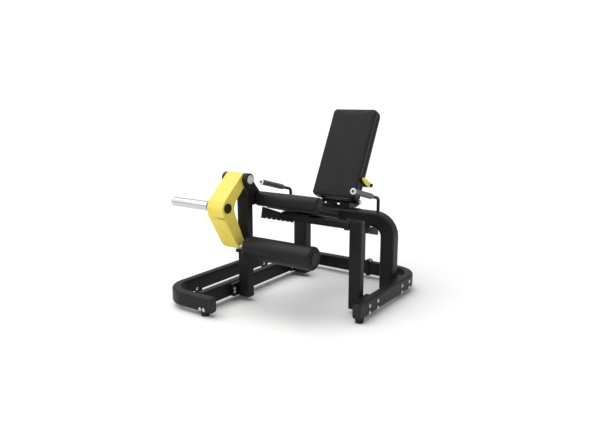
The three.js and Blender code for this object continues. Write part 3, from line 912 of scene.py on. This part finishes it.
BACK_WIDE, BACK_LONG, BACK_THICK = 0.300, 0.568, 0.068
BACK_PLACE = Matrix.Translation(at(0, 0.492, 0.531)) @ Matrix.Rotation(-RECLINE, 4, "X")


def dense(outline, step=0.006):
    points = []
    for (u0, v0), (u1, v1) in zip(outline, outline[1:] + outline[:1]):
        parts = max(1, round(math.hypot(u1 - u0, v1 - v0) / step))
        for k in range(parts):
            t = k / parts
            points.append((u0 + (u1 - u0) * t, v0 + (v1 - v0) * t))
    return points


def backrest():
    pad = block_cushion(
        "backrest_cushion", "backrest_pad", (BACK_WIDE, BACK_THICK, BACK_LONG), BACK_PLACE, 0.014, 0.002, 0.014
    )
    inset = 0.004
    side = BACK_WIDE / 2 - inset
    ring = dense(rounded_rect(-side, inset, side, BACK_LONG - inset, 0.014))
    route = [Vector((u, 0.050, v)) for u, v in ring]
    piping("backrest_welt", pad, route, BACK_PLACE, "backrest")
    refined("backrest_panel", "backrest_board", 0.002)
    refined("backrest_spine", "backrest_stem", 0.002, 2, 32)
    refined("hinge_bracket", "backrest_bracket", 0.002, 2, 32)
    refined("lever_housing", "lever_guide", 0.0015, 2, 32)
    y, z = HINGE.y, HINGE.z
    lo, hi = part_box("hinge_pin")
    pin = [
        (lo.x, 0),
        (lo.x, 0.0065),
        (lo.x + 0.0015, 0.008),
        (hi.x - 0.0015, 0.008),
        (hi.x, 0.0065),
        (hi.x, 0),
    ]
    dress(lathe("hinge_axle", pin, y, z, 40), "hinge_pin")
    lo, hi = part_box("hinge_collar_right")
    ring = [
        (lo.x, 0.0083),
        (lo.x, 0.015),
        (hi.x - 0.0015, 0.015),
        (hi.x, 0.0135),
        (hi.x, 0.0083),
        (lo.x, 0.0083),
    ]
    dress(lathe("hinge_nut", ring, y, z, 40), "hinge_collar_right")


def lever():
    refined("release_paddle", "lever_paddle", 0.0035, 4, 40)
    y, z = LEVER.y, LEVER.z
    lo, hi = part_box("lever_rod")
    dress(lathe("release_rod", [(lo.x, 0), (lo.x, 0.007), (hi.x, 0.007), (hi.x, 0)], y, z, 32), "lever_rod")
    lo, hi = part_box("lever_knob")
    dress(lathe("release_knob", button(lo.x, hi.x, 0.011, 0.002, 0.0008), y, z, 40), "lever_knob")


def seat():
    slope = Matrix.Rotation(-SEAT_SLOPE, 4, "X")
    pad_lo = 0.034 - 0.006
    length = 0.318 - 0.002 - 0.034 + 0.012
    thick = 0.038
    board = 0.012 + 0.0003
    lying = Matrix.Rotation(math.radians(-90), 4, "X")
    base_point = Matrix.Translation(at(0, 0.036, 0.520)) @ slope
    place_in = base_point @ Matrix.Translation((0, pad_lo, board + thick)) @ lying
    block_cushion("seat_cushion", "seat_pad", (0.300, thick, length), place_in, 0.010, 0.002, 0.03)
    refined("seat_panel", "seat_board", 0.002)
    roll()


ROLL_OUTLINE = [
    (-0.006, 0.548, 0.016),
    (-0.004, 0.598, 0.022),
    (0.030, 0.612, 0.020),
    (0.060, 0.596, 0.020),
    (0.065, 0.556, 0.014),
    (0.052, 0.540, 0.004),
    (0.034, 0.536, 0.002),
    (0.031, 0.527, 0.003),
    (0.006, 0.530, 0.012),
]


def roll():
    outline = [(RAIL_Y + y, z) for y, z in soft_outline(ROLL_OUTLINE)]
    lo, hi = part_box("front_roll_pad")
    swell = 0.002
    bm = bmesh.new()
    prism_mesh(bm, "x", outline, lo.x + swell, hi.x - swell, 0.008, 4)
    obj = new_object("seat_front_roll", bm)
    remeshed(obj, 0.004)
    inflate(obj, swell, lambda p: p.z < 0.545)
    finish_cushion(obj, "front_roll_pad")


# ---- Hand grips ----


def handles():
    tube = 0.009
    bend = 0.024
    for side in ("left", "right"):
        lo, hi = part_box(side + "_handle_tube")
        x = (lo.x + hi.x) / 2
        foot_y = hi.y - tube
        reach = 0.285
        bend_z = 0.548
        tip = Vector((x, foot_y - reach, bend_z + reach * math.tan(SEAT_SLOPE)))
        corner = Vector((x, foot_y, bend_z))
        foot_at = Vector((x, foot_y, lo.z))
        bar = sweep(side + "_handle_bar", circle(tube), [foot_at, corner, tip], bend, (1, 0, 0), 16)
        dress(bar, side + "_handle_tube")
        along = (corner - tip).normalized()
        upright = Vector((1, 0, 0))
        ribs = 20
        length = 0.205
        radius = 0.016
        bm = bmesh.new()
        rings = []
        for i in range(ribs * 4 + 1):
            t = i / (ribs * 4)
            dip = 0.0009 * (0.5 - 0.5 * math.cos(2 * math.pi * t * ribs))
            swell = 0.0 if 0.04 < t < 0.96 else -0.001
            r = radius - dip + swell
            rings.append((tip + along * (0.001 + t * (length - 0.001)), r))
        inner = [(rings[0][0], tube + 0.0003)]
        profile = inner + rings + [(rings[-1][0], tube + 0.0003), (rings[0][0], tube + 0.0003)]
        grip_rings = []
        across = along.cross(upright).normalized()
        for spot, r in profile:
            ring = []
            for k in range(40):
                a = 2 * math.pi * k / 40
                ring.append(bm.verts.new(spot + across * (r * math.cos(a)) + upright * (r * math.sin(a))))
            grip_rings.append(ring)
        for one, two in zip(grip_rings, grip_rings[1:]):
            for k in range(40):
                m = (k + 1) % 40
                bm.faces.new([one[k], one[m], two[m], two[k]])
        grip = new_object(side + "_rubber_grip", bm)
        bmesh_clean(grip)
        smooth(grip)
        dress(grip, side + "_grip")
        refined(side + "_grip_end", side + "_grip_cap", 0.002, 3, 40)
        face = tip - along * 0.0093
        plug = sweep(side + "_grip_plug", circle(0.0075), [face, face + along * 0.004], 0, (1, 0, 0))
        dress(plug, body="frame", slot="black_plastic")


# ---- Stage ----


def stage():
    bm = bmesh.new()
    reach = 300.0
    corners = [(-reach, -reach), (reach, -reach), (reach, reach), (-reach, reach)]
    bm.faces.new([bm.verts.new((x, y, -0.0006)) for x, y in corners])
    floor = new_object("studio_floor", bm)
    look = material("studio_floor_paint", (0.86, 0.86, 0.86), 0.8, specular=0.1)
    vary_color(look, 0.6, (0.85, 0.85, 0.85), (0.87, 0.87, 0.87))
    floor.data.materials.append(look)
    world = bpy.data.worlds.new("studio")
    world.use_nodes = True
    sky = world.node_tree.nodes["Background"]
    sky.inputs["Color"].default_value = (1, 1, 1, 1)
    sky.inputs["Strength"].default_value = 0.62
    bright = world.node_tree.nodes.new("ShaderNodeBackground")
    bright.inputs["Color"].default_value = (1, 1, 1, 1)
    bright.inputs["Strength"].default_value = 1.05
    mix = world.node_tree.nodes.new("ShaderNodeMixShader")
    path = world.node_tree.nodes.new("ShaderNodeLightPath")
    links = world.node_tree.links
    links.new(path.outputs["Is Camera Ray"], mix.inputs["Fac"])
    links.new(sky.outputs["Background"], mix.inputs[1])
    links.new(bright.outputs["Background"], mix.inputs[2])
    links.new(mix.outputs["Shader"], world.node_tree.nodes["World Output"].inputs["Surface"])
    scene.world = world
    scene.view_settings.view_transform = "Standard"


def area_light(name, spot, target, size, power):
    data = bpy.data.lights.new(name, "AREA")
    data.shape = "DISK"
    data.size = size
    data.energy = power
    obj = bpy.data.objects.new(name, data)
    obj.location = spot
    obj.rotation_euler = (Vector(target) - Vector(spot)).to_track_quat("-Z", "Y").to_euler()
    scene.collection.objects.link(obj)


def sun_light(name, direction, spread, strength):
    data = bpy.data.lights.new(name, "SUN")
    data.angle = math.radians(spread)
    data.energy = strength
    obj = bpy.data.objects.new(name, data)
    obj.rotation_euler = Vector(direction).to_track_quat("-Z", "Y").to_euler()
    scene.collection.objects.link(obj)


def lights():
    sun_light("sky_panel", (0.35, 0.1, -1.0), 60, 2.1)
    area_light("front_left_light", (-2.6, -3.2, 2.6), (0, 0, 0.4), 2.0, 25)


def camera():
    data = bpy.data.cameras.new("photo_view")
    data.lens = 34.59
    data.sensor_width = 36
    data.clip_end = 1000
    obj = bpy.data.objects.new("photo_view", data)
    obj.location = at(1.74614, -2.38529, 1.104)
    obj.rotation_euler = (math.radians(90 - 11.695), 0, math.radians(34.48))
    scene.collection.objects.link(obj)
    scene.camera = obj


camera()
lights()
stage()
base_rails()
for shoe in ("front_left_foot", "left_middle_foot", "front_right_foot", "rear_right_foot", "rear_left_foot"):
    foot(shoe)
end_cap("right_rail_end_cap", "y")
end_cap("left_loop_end_cap", "x")
end_cap("arch_end_cap", "x")
frame_bolts()
standing_frame()
racks()
swing_arm()
horn()
pivot()
roller()
backrest()
lever()
seat()
handles()
